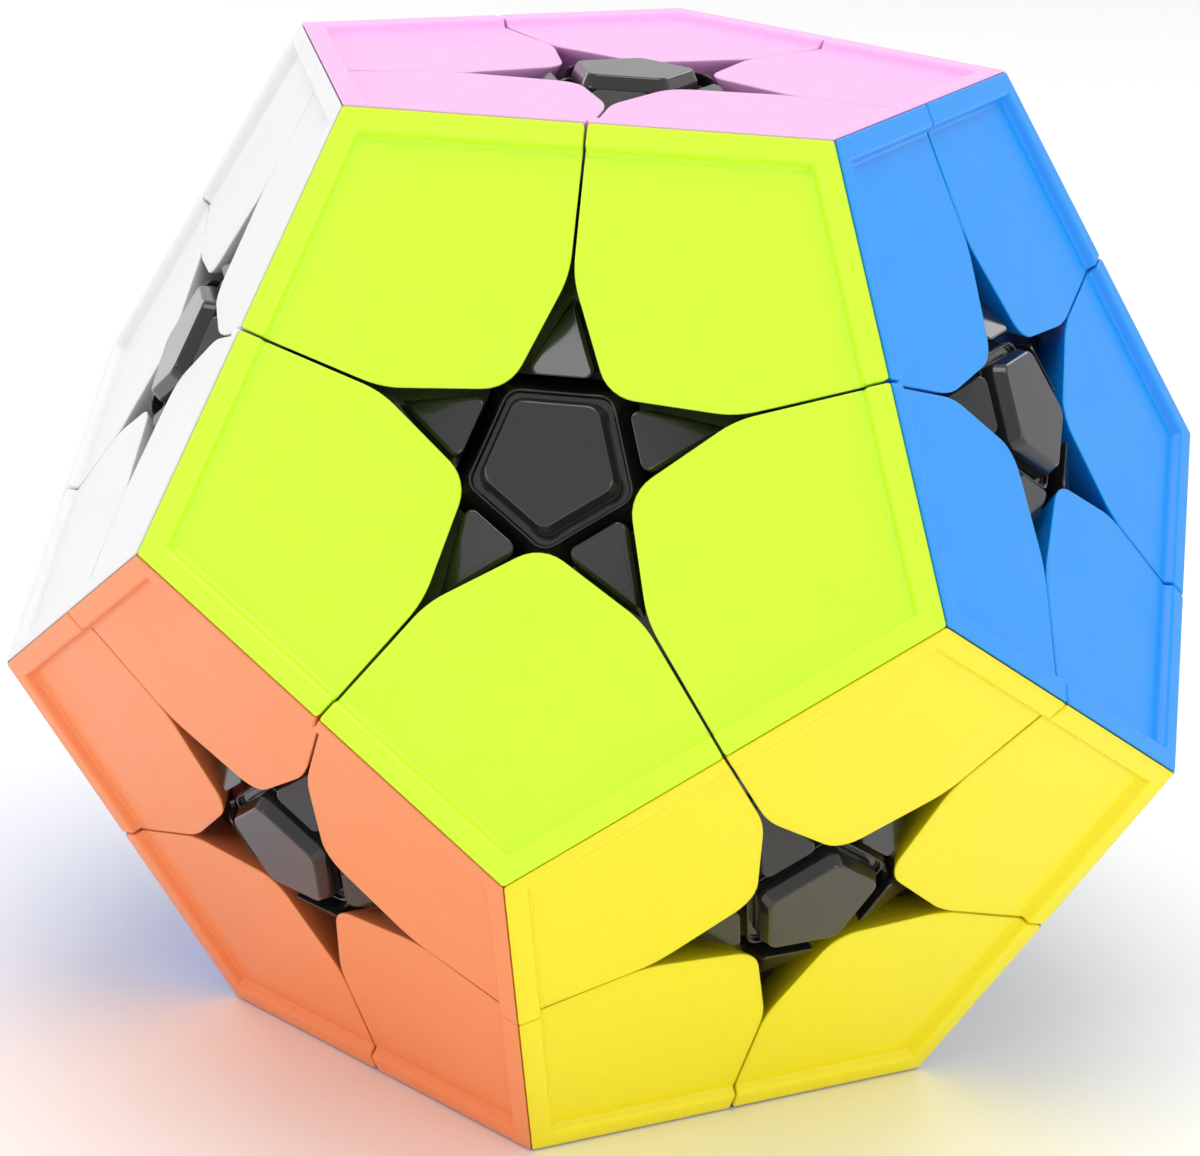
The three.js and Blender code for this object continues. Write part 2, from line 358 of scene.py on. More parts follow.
FOOT_HEIGHT = 25.45  # the black feet end here, straight below the tiles
TILE_BASE = 25.6
STAR_CLEARANCE = 0.08  # from a tile's star sides, at its base, to the flat part of the surface
TILE_REACHES = (24, 18.9, 15)  # where a tile's gap line has a point, from the face's centre
TILE_BASE_REACHES = (27, 24, 22.5)
TIP_ROOT = 27.2  # a tip runs down into its inner edge as far as this
EDGE_SHOULDER = 27.9  # height of an inner edge's body beside its tips
EDGE_RIDGE = 29.9  # height of its back, straight below the puzzle's outer edge
PASSING_CLEARANCE = 0.3  # an inner edge keeps this much more, for the tiles' points to pass
CENTRE_BASE = 20.3
CENTRE_WAIST = 25.8  # where a hub's skirt turns in, towards the star's walls
CENTRE_CLEARANCE = 0.165  # from a hub's sides to the layers beside it
HUB_FLOOR = 22
HUB_BORE = 1.2
HUB_WELL = 2.7
CAP_SEAT = 29.42  # the cap rests on the hub here
PLUG_END = 28.75  # the plug under the cap comes down to here
PLUG_RADIUS = 2.6
SCREW_HEAD_TOP = 28.4
SCREW_END_GAP = 6  # bare shank between a screw's head and its thread
WASHER_RADIUS = 1.6
WASHER_WIDTH = 0.9
WASHER_THICKNESS = 0.3
SPRING_SEAT = 22.1


def tile_outline(gap, neck, star_line, reaches, point_rounding, neck_rounding):
    """A tile at one height, anticlockwise, with +X towards its corner of the face. The gap line is
    followed through reaches, each a distance from the face's centre; star_line is the direction
    in which a side of the star leaves the neck, from +X."""
    along = Vector((math.cos(HALF_FIFTH), math.sin(HALF_FIFTH)))
    across = Vector((-along.y, along.x))
    side = Vector((math.cos(star_line), math.sin(star_line)))
    # where the side of the star meets the wall of the gap
    run = (-gap - neck * across.x) / side.dot(across)
    point = Vector((neck, 0)) + side * run
    half = [(*(along * reach - across * gap), 0) for reach in reaches]
    half.append((*point, point_rounding))
    mirrored = [(x, -y, radius) for x, y, radius in reversed(half)]
    tip = (reaches[0] * 1.34, 0, 0)
    return rounded_outline([tip, *half, (neck, 0, neck_rounding), *mirrored])


def tile_shape(s):
    """A tile in its face's frame. Its walls along the star and the gaps lean in as they go down,
    to leave the turning layers free."""
    mm = 1 / MM
    rim, rise, gap = s.rim_width * mm, s.rim_height * mm, s.gap * mm / 2
    field = FACE_HEIGHT - rise
    rounding = s.point_rounding * mm, s.neck_rounding * mm
    outline = tile_outline(gap, s.star_neck * mm, s.star_angle, TILE_REACHES, *rounding)
    # at the tile's base its star sides lie in the flat part of the turning surface
    star_side = (NECK_HEIGHT + STAR_CLEARANCE - TILE_BASE * NEIGHBOUR_COS) / NEIGHBOUR_SIN
    foot = tile_outline(gap + s.gap_relief * mm, star_side / math.cos(HALF_FIFTH),
                        math.pi / 2 - HALF_FIFTH, TILE_BASE_REACHES, 1, 1)
    block = lofted([at_height(foot, TILE_BASE), at_height(outline, field),
                    at_height(outline, FACE_HEIGHT)])
    half = math.atan(FACE_INRADIUS / FACE_HEIGHT)
    cos_side, sin_side = math.cos(HALF_FIFTH), math.sin(HALF_FIFTH)
    mitre = [(math.cos(half) * cos_side, side * math.cos(half) * sin_side, -math.sin(half))
             for side in (1, -1)]
    block = cut_by_planes(block, [(normal, -s.mitre_gap * mm / 2) for normal in mitre])
    recess = []
    for height in (field, FACE_HEIGHT + 1):
        inset = rim - (height - field) * s.rim_slope
        tip = (FACE_INRADIUS - inset) / cos_side
        wing = Vector((tip - 25 * sin_side, 25 * cos_side))
        recess.append([(tip, 0, height), (wing.x, wing.y, height), (-10, wing.y, height),
                       (-10, -wing.y, height), (wing.x, -wing.y, height)])
    block = tidied(combined(block, lofted(recess), "DIFFERENCE"))
    return arrises_rounded(block, s.arris_rounding * mm)


def share_of(mesh, names, own, other):
    """The part of a body that belongs to the given layers and to no other."""
    for name in names:
        mesh = combined(mesh, in_frame(own, face_frame(name)), "INTERSECT")
    for name in NAMES:
        if name not in names:
            mesh = combined(mesh, in_frame(other, face_frame(name)), "DIFFERENCE")
    return largest_body(mesh)


def largest_body(mesh):
    bm = bmesh.new()
    bm.from_mesh(mesh)
    bmesh.ops.remove_doubles(bm, verts=bm.verts[:], dist=1e-4)
    left, bodies = set(bm.verts), []
    while left:
        body, queue = set(), [left.pop()]
        while queue:
            vert = queue.pop()
            body.add(vert)
            for e in vert.link_edges:
                far = e.other_vert(vert)
                if far in left:
                    left.discard(far)
                    queue.append(far)
        bodies.append(body)
    keep = max(bodies, key=len)
    bmesh.ops.delete(bm, geom=[v for v in bm.verts if v not in keep], context="VERTS")
    bm.to_mesh(mesh)
    bm.free()
    return mesh


def block_below(planes, size=120):
    """A big block kept below each plane."""
    half = size / 2
    square = [(-half, -half), (half, -half), (half, half), (-half, half)]
    block = lofted([[(x, y, h) for x, y in square] for h in (-half, half)])
    return cut_by_planes(block, planes)


def foot_shape(names):
    """The black inner part of a corner, which holds its three tiles and hooks under the edges."""
    own = layer_space(-OWN_SHARE * GAP)
    other = layer_space((1 - OWN_SHARE) * GAP)
    block = block_below([(AXIS[name], FOOT_HEIGHT) for name in names])
    return smooth_between(tidied(share_of(block, names, own, other)), 28)


def tip_shape(s):
    """One tip of an inner edge in its face's frame, with +X towards the edge's middle. Its top
    falls towards its far end."""
    mm = 1 / MM
    top, low = s.tip_height * mm, TIP_ROOT
    base, apex = s.tip_base * mm, s.tip_point * mm
    half_width = (apex - base) * math.tan(s.tip_half_angle)
    corner, point = s.tip_rounding * mm, 0.2
    outline = rounded_outline([(apex, 0, point), (base, half_width, corner),
                               (base, -half_width, corner)], steps=8)
    foot = rounded_outline([(apex + 0.9, 0, point), (base + 1, half_width + 0.35, corner),
                            (base + 1, -half_width - 0.35, corner)], steps=8)
    fall = math.tan(s.tip_fall)
    sloping = [(p.x, p.y, top - (p.x - base) * fall) for p in outline]
    block = lofted([at_height(foot, low), sloping])
    return arrises_rounded(block, s.tip_bevel * mm, segments=4, angle=40)


def inner_edge_shape(names, s):
    """An inner edge: a body between two layers' surfaces, and a tip on each of its two faces."""
    own = layer_space(-OWN_SHARE * GAP)
    other = layer_space((1 - OWN_SHARE) * GAP + PASSING_CLEARANCE)
    a, b = names
    sides = [(AXIS[a], EDGE_SHOULDER), (AXIS[b], EDGE_SHOULDER), (middle(names), EDGE_RIDGE)]
    block = block_below(sides)
    body = share_of(block, names, own, other)
    tip = tip_shape(s)
    for here, there in ((a, b), (b, a)):
        body = combined(body, in_frame(tip, frame_of(AXIS[here], AXIS[there])), "UNION")
    return smooth_between(largest_body(body), 28)


RING_OFFSETS = [math.radians(a) for a in (0, 2, 4, 6, 8, 10, 13, 18, 24, 30)]


def pentagon_ring(inradius, corner, height):
    """A pentagon with rounded corners, flat sides facing +X; its corner radius may make it round."""
    reach = (inradius - corner) / math.cos(HALF_FIFTH)
    tangent = math.atan2(corner * math.sin(HALF_FIFTH), reach + corner * math.cos(HALF_FIFTH))
    ring = []
    for k in range(5):
        vertex = HALF_FIFTH + k * FIFTH
        for offset in [-a for a in RING_OFFSETS[:0:-1]] + RING_OFFSETS + [HALF_FIFTH]:
            a = abs(offset)
            if a < tangent:
                r = reach * math.cos(a) + math.sqrt(corner ** 2 - (reach * math.sin(a)) ** 2)
            else:
                r = inradius / math.cos(HALF_FIFTH - a)
            angle = vertex + offset
            ring.append((r * math.cos(angle), r * math.sin(angle), height))
    return ring


def round_ring(radius, height):
    return pentagon_ring(radius, radius, height)


def centre_reach(height):
    """How far from a face's axis the neighbouring layers begin, at a height along that axis."""
    under_neck = (NECK_HEIGHT - height * NEIGHBOUR_COS) / NEIGHBOUR_SIN
    beside_stem = height * math.tan(math.acos(NEIGHBOUR_COS) - STEM_ANGLE)
    return min(under_neck, beside_stem) - CENTRE_CLEARANCE


def hub_shape(s):
    """The centre's hub: a skirt, a thin ridge round the cap, and a well for the screw."""
    mm = 1 / MM
    ridge, groove = s.ridge_height * mm, s.ridge_height * mm - 0.32
    outside, inside = s.ridge_reach * mm, s.ridge_reach * mm - s.ridge_width * mm
    rings = [
        round_ring(HUB_BORE, CENTRE_BASE),
        pentagon_ring(centre_reach(CENTRE_BASE), 0.8, CENTRE_BASE),
        pentagon_ring(centre_reach(CENTRE_WAIST), 0.9, CENTRE_WAIST),
        pentagon_ring(centre_reach(27.5), 0.9, 27.5),
        pentagon_ring(outside, 0.95, 29.3),
        pentagon_ring(outside, 0.95, ridge),
        pentagon_ring(inside, 0.85, ridge),
        pentagon_ring(inside, 0.85, groove),
        pentagon_ring(s.cap_reach * mm - 0.25, 0.8, groove),
        round_ring(2.75, groove - 0.25),
        round_ring(HUB_WELL, HUB_FLOOR),
        round_ring(HUB_BORE, HUB_FLOOR),
    ]
    return arrises_rounded(lofted(rings, closed=True), 0.07, segments=2, angle=35)


def cap_shape(s):
    """The cap: a pentagonal lid with a wide chamfer, and a plug that clips into the hub."""
    mm = 1 / MM
    top, shoulder = s.cap_height * mm, s.cap_height * mm - s.cap_chamfer_drop * mm
    flat, reach = s.cap_flat * mm, s.cap_reach * mm
    rings = [
        round_ring(PLUG_RADIUS - 0.2, PLUG_END),
        round_ring(PLUG_RADIUS, PLUG_END + 0.2),
        round_ring(PLUG_RADIUS, CAP_SEAT),
        pentagon_ring(reach - 0.1, 0.8, CAP_SEAT),
        pentagon_ring(reach, 0.85, 29.5),
        pentagon_ring(reach, 0.85, shoulder),
        pentagon_ring(flat, s.cap_rounding * mm, top),
    ]
    return arrises_rounded(lofted(rings), 0.13, segments=3, angle=20)


# ---- Finishes ----

def plastic(name, colour, roughness, mottle=0.03, grain=0.05, coat=0.0, depth=0.0):
    """Injection-moulded plastic: a faint flow mottle, a fine moulded grain, a satin to gloss skin.
    With a depth, light goes that far into it."""
    material = bpy.data.materials.new(name)
    material.use_nodes = True
    nodes, links = material.node_tree.nodes, material.node_tree.links
    shader = nodes["Principled BSDF"]
    shader.inputs["IOR"].default_value = 1.49
    shader.inputs["Coat Weight"].default_value = coat
    shader.inputs["Coat Roughness"].default_value = 0.08
    if depth:
        shader.inputs["Subsurface Weight"].default_value = 0.35
        shader.inputs["Subsurface Radius"].default_value = (1, 1, 1)
        shader.inputs["Subsurface Scale"].default_value = depth
    place = nodes.new("ShaderNodeTexCoord")

    flow = nodes.new("ShaderNodeTexNoise")
    flow.inputs["Scale"].default_value = 400
    flow.inputs["Detail"].default_value = 3
    links.new(place.outputs["Object"], flow.inputs["Vector"])
    tint = nodes.new("ShaderNodeMix")
    tint.data_type = "RGBA"
    dark = [channel * (1 - mottle) for channel in colour[:3]]
    tint.inputs["A"].default_value = (*dark, 1)
    tint.inputs["B"].default_value = (*colour[:3], 1)
    links.new(flow.outputs["Fac"], tint.inputs["Factor"])
    links.new(tint.outputs["Result"], shader.inputs["Base Color"])

    skin = nodes.new("ShaderNodeTexNoise")
    skin.inputs["Scale"].default_value = 260
    skin.inputs["Detail"].default_value = 4
    links.new(place.outputs["Object"], skin.inputs["Vector"])
    gloss = nodes.new("ShaderNodeMapRange")
    gloss.inputs["From Min"].default_value = 0.3
    gloss.inputs["From Max"].default_value = 0.7
    gloss.inputs["To Min"].default_value = roughness * 0.85
    gloss.inputs["To Max"].default_value = roughness * 1.15
    links.new(skin.outputs["Fac"], gloss.inputs["Value"])
    links.new(gloss.outputs["Result"], shader.inputs["Roughness"])

    fine = nodes.new("ShaderNodeTexNoise")
    fine.inputs["Scale"].default_value = 2600
    fine.inputs["Detail"].default_value = 2
    links.new(place.outputs["Object"], fine.inputs["Vector"])
    bump = nodes.new("ShaderNodeBump")
    bump.inputs["Strength"].default_value = grain
    bump.inputs["Distance"].default_value = 0.02 * MM
    links.new(fine.outputs["Fac"], bump.inputs["Height"])
    links.new(bump.outputs["Normal"], shader.inputs["Normal"])
    return material


def steel(name):
    """Zinc-plated steel, with a faint mottle and a fine bumpy grain."""
    material = plastic(name, (0.62, 0.63, 0.64, 1), 0.32, mottle=0.12, grain=0.25)
    shader = material.node_tree.nodes["Principled BSDF"]
    shader.inputs["Metallic"].default_value = 1
    return material


def finish(slot):
    """The material of a slot, made once."""
    name = slot + "_finish"
    if name in bpy.data.materials:
        return bpy.data.materials[name]
    colours = bpy.context.scene.puzzle_colours
    if slot.startswith("tile_"):
        return plastic(name, getattr(colours, slot.removeprefix("tile_")), colours.tile_roughness,
                       depth=0.8 * MM)
    if slot == "black_gloss":
        return plastic(name, colours.black, 0.16, mottle=0.2, grain=0.03, coat=0.35)
    if slot == "black_satin":
        return plastic(name, colours.black, 0.24, mottle=0.2, grain=0.05)
    if slot == "core_plastic":
        return plastic(name, colours.core, 0.45, mottle=0.15, grain=0.3)
    return steel(name)


# ---- Fasteners, made by Geometry Nodes on the twelve axes ----

class Tree:
    """A geometry node tree with named inputs, which puts one fastener on each point of a mesh."""

    def __init__(self, name, sizes):
        self.group = bpy.data.node_groups.new(name, "GeometryNodeTree")
        face = self.group.interface
        face.new_socket("Geometry", in_out="INPUT", socket_type="NodeSocketGeometry")
        face.new_socket("Geometry", in_out="OUTPUT", socket_type="NodeSocketGeometry")
        self.ids = {}
        for label, default in sizes.items():
            kind = "NodeSocketInt" if isinstance(default, int) else "NodeSocketFloat"
            socket = face.new_socket(label, in_out="INPUT", socket_type=kind)
            socket.default_value = default
            self.ids[label] = socket.identifier
        socket = face.new_socket("Material", in_out="INPUT", socket_type="NodeSocketMaterial")
        self.ids["Material"] = socket.identifier
        self.entry = self.add("NodeGroupInput")
        self.exit = self.add("NodeGroupOutput")

    def add(self, kind, values=None, **properties):
        """A node; its values are numbers, or the sockets that feed them."""
        node = self.group.nodes.new(kind)
        for name, value in properties.items():
            setattr(node, name, value)
        for name, value in (values or {}).items():
            socket = node.inputs[name]
            if isinstance(value, bpy.types.NodeSocket):
                self.group.links.new(value, socket)
            elif isinstance(value, str):
                self.group.links.new(self.entry.outputs[value], socket)
            else:
                socket.default_value = value
        return node

    def worked_out(self, a, b, operation="ADD"):
        """The result of a sum on two numbers, named inputs or sockets."""
        node = self.add("ShaderNodeMath", operation=operation)
        for socket, value in zip(node.inputs, (a, b)):
            if isinstance(value, bpy.types.NodeSocket):
                self.group.links.new(value, socket)
            elif isinstance(value, str):
                self.group.links.new(self.entry.outputs[value], socket)
            else:
                socket.default_value = value
        return node.outputs[0]

    def lifted(self, shape, height):
        shift = self.add("ShaderNodeCombineXYZ", {"Z": height})
        return self.add("GeometryNodeTransform", {
            "Geometry": shape, "Translation": shift.outputs[0]}).outputs[0]

    def joined(self, *shapes):
        join = self.add("GeometryNodeJoinGeometry")
        for shape in reversed(shapes):
            self.group.links.new(shape, join.inputs[0])
        return join.outputs[0]

    def finish(self, shape):
        """One copy at each point, with its +Z away from the puzzle's middle."""
        place = self.add("GeometryNodeInputPosition")
        turn = self.add("FunctionNodeAlignRotationToVector", {"Vector": place.outputs[0]}, axis="Z")
        copies = self.add("GeometryNodeInstanceOnPoints", {
            "Points": self.entry.outputs["Geometry"], "Instance": shape,
            "Rotation": turn.outputs[0]})
        real = self.add("GeometryNodeRealizeInstances", {"Geometry": copies.outputs[0]})
        smooth = self.add("GeometryNodeSetShadeSmooth", {"Geometry": real.outputs[0]})
        painted = self.add("GeometryNodeSetMaterial", {
            "Geometry": smooth.outputs[0], "Material": "Material"})
        self.group.links.new(painted.outputs[0], self.exit.inputs[0])
        return self


def spring_tree(sizes):
    """A coil spring: a round wire along a spiral."""
    t = Tree("Coil spring", sizes)
    coil = t.add("GeometryNodeCurveSpiral", {
        "Resolution": 20, "Rotations": "Turns", "Start Radius": "Coil radius",
        "End Radius": "Coil radius", "Height": "Length"})
    wire = t.add("GeometryNodeCurvePrimitiveCircle", {"Resolution": 8, "Radius": "Wire radius"})
    tube = t.add("GeometryNodeCurveToMesh", {
        "Curve": coil.outputs[0], "Profile Curve": wire.outputs[0], "Fill Caps": True})
    return t.finish(tube.outputs[0])


def washer_tree(sizes):
    """A flat washer: a rectangle taken round a circle."""
    t = Tree("Washer", sizes)
    path = t.add("GeometryNodeCurvePrimitiveCircle", {"Resolution": 40, "Radius": "Radius"})
    section = t.add("GeometryNodeCurvePrimitiveQuadrilateral", {
        "Width": "Width", "Height": "Thickness"})
    ring = t.add("GeometryNodeCurveToMesh", {
        "Curve": path.outputs[0], "Profile Curve": section.outputs[0]})
    return t.finish(ring.outputs[0])


def screw_tree(sizes):
    """A pan-head screw: a shank, a thread along a spiral, and a head with a cross recess."""
    t = Tree("Screw", sizes)
    shank_length = t.worked_out("Length", "Head height", "SUBTRACT")
    half_shank = t.worked_out(shank_length, -0.5, "MULTIPLY")
    shank = t.add("GeometryNodeMeshCylinder", {
        "Vertices": 24, "Radius": "Shank radius", "Depth": shank_length})
    shank = t.lifted(shank.outputs[0], half_shank)
    path = t.add("GeometryNodeCurveSpiral", {
        "Resolution": 18, "Rotations": "Thread turns", "Start Radius": "Shank radius",
        "End Radius": "Shank radius", "Height": "Thread length"})
    ridge = t.add("GeometryNodeCurvePrimitiveCircle", {"Resolution": 3, "Radius": "Thread depth"})
    thread = t.add("GeometryNodeCurveToMesh", {
        "Curve": path.outputs[0], "Profile Curve": ridge.outputs[0], "Fill Caps": True})
    shank_end = t.worked_out(shank_length, -1, "MULTIPLY")
    thread = t.lifted(thread.outputs[0], t.worked_out(shank_end, 0.3 * MM))
    head = t.add("GeometryNodeMeshCylinder", {
        "Vertices": 40, "Radius": "Head radius", "Depth": "Head height"})
    half_head = t.worked_out("Head height", 0.5, "MULTIPLY")
    head = t.lifted(head.outputs[0], half_head)
    slot_long = t.worked_out("Head radius", 1.1, "MULTIPLY")
    slot_wide = t.worked_out("Head radius", 0.24, "MULTIPLY")
    slot_deep = t.worked_out("Head height", 0.9, "MULTIPLY")
    slots = []
    for x, y in ((slot_long, slot_wide), (slot_wide, slot_long)):
        size = t.add("ShaderNodeCombineXYZ", {"X": x, "Y": y, "Z": slot_deep})
        cube = t.add("GeometryNodeMeshCube", {"Size": size.outputs[0]})
        slots.append(t.lifted(cube.outputs[0], "Head height"))
    cut = t.add("GeometryNodeMeshBoolean", operation="DIFFERENCE", solver="MANIFOLD")
    t.group.links.new(head, cut.inputs["Mesh 1"])
    for slot in slots:
        t.group.links.new(slot, cut.inputs["Mesh 2"])
    return t.finish(t.joined(shank, thread, cut.outputs["Mesh"]))


def on_axes(name, tree, height, material):
    """Runs a fastener's tree on a point of each axis, and keeps the result as a plain mesh."""
    points = bpy.data.meshes.new(name + "_points")
    points.from_pydata([tuple(AXIS[face] * height) for face in NAMES], [], [])
    holder = bpy.data.objects.new(name + "_points", points)
    bpy.context.scene.collection.objects.link(holder)
    modifier = holder.modifiers.new(name, "NODES")
    modifier.node_group = tree.group
    modifier[tree.ids["Material"]] = material
    mesh = bpy.data.meshes.new_from_object(
        holder.evaluated_get(bpy.context.evaluated_depsgraph_get()))
    holder.modifiers.clear()
    bpy.data.objects.remove(holder)
    if not mesh.polygons:
        raise RuntimeError(name + " came out empty")
    bm = bmesh.new()
    bm.from_mesh(mesh)
    bmesh.ops.recalc_face_normals(bm, faces=bm.faces[:])
    bm.to_mesh(mesh)
    bm.free()
    mesh.set_sharp_from_angle(angle=math.radians(35))
    mesh.name = name
    piece = bpy.data.objects.new(name, mesh)
    bpy.context.scene.collection.objects.link(piece)
    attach(piece, CORE_BODY)
    return piece


# ---- Sizes and colours that a user may change ----

def length(name, description, mm):
    return bpy.props.FloatProperty(name=name, description=description, default=mm * MM,
                                   min=0, subtype="DISTANCE", unit="LENGTH", precision=5)


def colour(name, description, r, g, b):
    return bpy.props.FloatVectorProperty(name=name, description=description, subtype="COLOR",
                                         size=3, min=0, max=1, default=(r, g, b))


class PuzzleTileSettings(bpy.types.PropertyGroup):
    """Sizes of the coloured tiles."""
    rim_width: length("Rim width", "Raised border along a tile's outer sides, at its foot", 1.7)
    rim_height: length("Rim height", "How far the border stands above the field", 0.6)
    rim_slope: bpy.props.FloatProperty(
        name="Rim slope", description="How much the border narrows for each length of height",
        default=0.5, min=0, max=1)
    gap: length("Gap", "Width of the line between two tiles of a face", 0.15)
    mitre_gap: length("Mitre gap", "Width of the joint between two tiles of a corner", 0.06)
    star_neck: length("Star neck", "From the face's centre to a tile's inner point", 4.65)
    star_angle: bpy.props.FloatProperty(
        name="Star angle", description="Between a side of the star and the tile's middle line",
        default=math.radians(58), subtype="ANGLE", unit="ROTATION")
    gap_relief: length("Gap relief", "How much wider each side of a gap is at a tile's base", 0.8)
    neck_rounding: length("Neck rounding", "Radius of a tile's inner point", 2.5)
    point_rounding: length("Point rounding", "Radius where the star runs out into the gap", 6)
    arris_rounding: length("Arris rounding", "Width of the rounding along every arris", 0.17)


class PuzzleEdgeSettings(bpy.types.PropertyGroup):
    """Sizes of the inner edges' tips."""
    tip_height: length("Tip height", "Near side of a tip's top above the puzzle's middle", 30.45)
    tip_fall: bpy.props.FloatProperty(
        name="Tip fall", description="How steeply a tip's top falls towards its far end",
        default=math.radians(24), subtype="ANGLE", unit="ROTATION")
    tip_base: length("Tip base", "From the face's centre to the near side of a tip", 4.75)
    tip_point: length("Tip point", "From the face's centre to the far end of a tip", 9.7)
    tip_rounding: length("Tip rounding", "Radius of the two near corners", 0.5)
    tip_bevel: length("Tip bevel", "Width of the rounding round a tip's top", 0.22)
    tip_half_angle: bpy.props.FloatProperty(
        name="Tip half angle", description="Half the angle of a tip at its far end",
        default=math.radians(22), subtype="ANGLE", unit="ROTATION")


class PuzzleCentreSettings(bpy.types.PropertyGroup):
    """Sizes of the centre hubs and caps."""
    cap_height: length("Cap height", "Top of the cap above the puzzle's middle", 31.0)
    cap_flat: length("Cap flat", "From the axis to a side of the cap's flat top", 3.17)
    cap_reach: length("Cap reach", "From the axis to a side of the cap, below its chamfer", 3.5)
    cap_chamfer_drop: length("Cap chamfer", "Height of the cap's chamfer", 0.8)
    cap_rounding: length("Cap rounding", "Corner radius of the cap's flat top", 0.85)
    ridge_height: length("Ridge height", "Top of the hub's ridge above the middle", 29.75)
    ridge_reach: length("Ridge reach", "From the axis to the outside of the ridge", 4.1)
    ridge_width: length("Ridge width", "Thickness of the ridge round the cap", 0.18)


class PuzzleFastenerSettings(bpy.types.PropertyGroup):
    """Sizes of the screws, springs and washers."""
    screw_length: length("Screw length", "Whole length of a screw, with its head", 19.4)
    shank_radius: length("Shank radius", "Core radius of the screw's shank", 0.8)
    thread_depth: length("Thread depth", "Half height of the thread's ridge", 0.16)
    thread_turns: bpy.props.IntProperty(name="Thread turns", description="Turns of the thread",
                                        default=12, min=1)
    head_radius: length("Head radius", "Radius of the screw's head", 2.2)
    head_height: length("Head height", "Height of the screw's head", 1.4)
    spring_radius: length("Spring radius", "Radius of the coil, to the middle of its wire", 1.75)
    wire_radius: length("Wire radius", "Radius of the spring's wire", 0.22)
    spring_turns: bpy.props.IntProperty(name="Spring turns", description="Turns of the spring",
                                        default=6, min=1)


class PuzzleColourSettings(bpy.types.PropertyGroup):
    """Colours of the plastics."""
    pink: colour("Pink", "Tiles of the top face", 0.93, 0.5, 0.86)
    lime: colour("Lime", "Tiles of the front face", 0.66, 1.0, 0.03)
    sky: colour("Sky", "Tiles of the upper right face", 0.0, 0.31, 0.93)
    red: colour("Red", "Tiles of the back right face", 0.78, 0.03, 0.025)
    cream: colour("Cream", "Tiles of the back left face", 0.9, 0.78, 0.5)
    white: colour("White", "Tiles of the upper left face", 0.84, 0.84, 0.84)
    yellow: colour("Yellow", "Tiles of the lower right face", 1.0, 0.85, 0.008)
    grey: colour("Grey", "Tiles of the lower back right face", 0.32, 0.35, 0.38)
    green: colour("Green", "Tiles of the lower back face", 0.012, 0.28, 0.08)
    blue: colour("Blue", "Tiles of the lower back left face", 0.02, 0.07, 0.55)
    orange: colour("Orange", "Tiles of the lower left face", 1.0, 0.3, 0.1)
    purple: colour("Purple", "Tiles of the bottom face", 0.25, 0.09, 0.55)
    tile_roughness: bpy.props.FloatProperty(
        name="Tile roughness", description="Roughness of the tiles' skin", default=0.34, min=0, max=1)
    black: colour("Black", "The inner pieces and the caps", 0.02, 0.02, 0.021)
    core: colour("Core", "The ball in the middle", 0.06, 0.06, 0.065)


class PuzzleStageSettings(bpy.types.PropertyGroup):
    """The floor, the lights and the camera."""
    floor_size: length("Floor size", "Side of the square floor", 2400)
    key_power: bpy.props.FloatProperty(name="Key power", description="Power of the key light",
                                       default=0.39, min=0, subtype="POWER", unit="POWER")
    sky_strength: bpy.props.FloatProperty(name="Sky strength", description="Strength of the pale sky",
                                          default=0.72, min=0)
    lens: bpy.props.FloatProperty(name="Lens", description="Focal length of the camera, in mm",
                                  default=98.354, min=1, subtype="DISTANCE_CAMERA", unit="CAMERA")


# ---- Operators: one for each group of like pieces ----

class PUZZLE_OT_tiles(bpy.types.Operator):
    """Make the sixty coloured tiles, three on each corner"""
    bl_idname = "puzzle.tiles"
    bl_label = "Tiles"

    def execute(self, context):
        seed = tile_shape(context.scene.puzzle_tiles)
        for names in CORNERS:
            _, body = body_of_pieces("corner", names)
            for name in names:
                others = "_".join(other for other in names if other != name)
                placed(f"tile_{name}_at_{others}", seed, frame_of(AXIS[name], middle(names)),
                       finish(f"tile_{name}"), body)
        return {"FINISHED"}


class PUZZLE_OT_feet(bpy.types.Operator):
    """Make the twenty black feet, which hold the tiles of a corner"""
    bl_idname = "puzzle.feet"
    bl_label = "Corner feet"

    def execute(self, context):
        first = CORNERS[0]
        seed = foot_shape(first)
        home = frame_of(middle(first), AXIS[first[0]]).inverted()
        for names in CORNERS:
            node, body = body_of_pieces("corner", names)
            matrix = frame_of(middle(names), AXIS[names[0]]) @ home
            placed("foot_" + "_".join(names), seed, matrix, finish("black_satin"),
                   body, [node])
        return {"FINISHED"}


class PUZZLE_OT_inner_edges(bpy.types.Operator):
    """Make the thirty inner edges, whose tips show in the stars"""
    bl_idname = "puzzle.inner_edges"
    bl_label = "Inner edges"

    def execute(self, context):
        first = PAIRS[0]
        seed = inner_edge_shape(first, context.scene.puzzle_edges)
        home = frame_of(middle(first), AXIS[first[0]]).inverted()
        for names in PAIRS:
            node, body = body_of_pieces("edge", names)
            matrix = frame_of(middle(names), AXIS[names[0]]) @ home
            placed("inner_edge_" + "_".join(names), seed, matrix, finish("black_gloss"),
                   body, [node] if node else ())
        return {"FINISHED"}


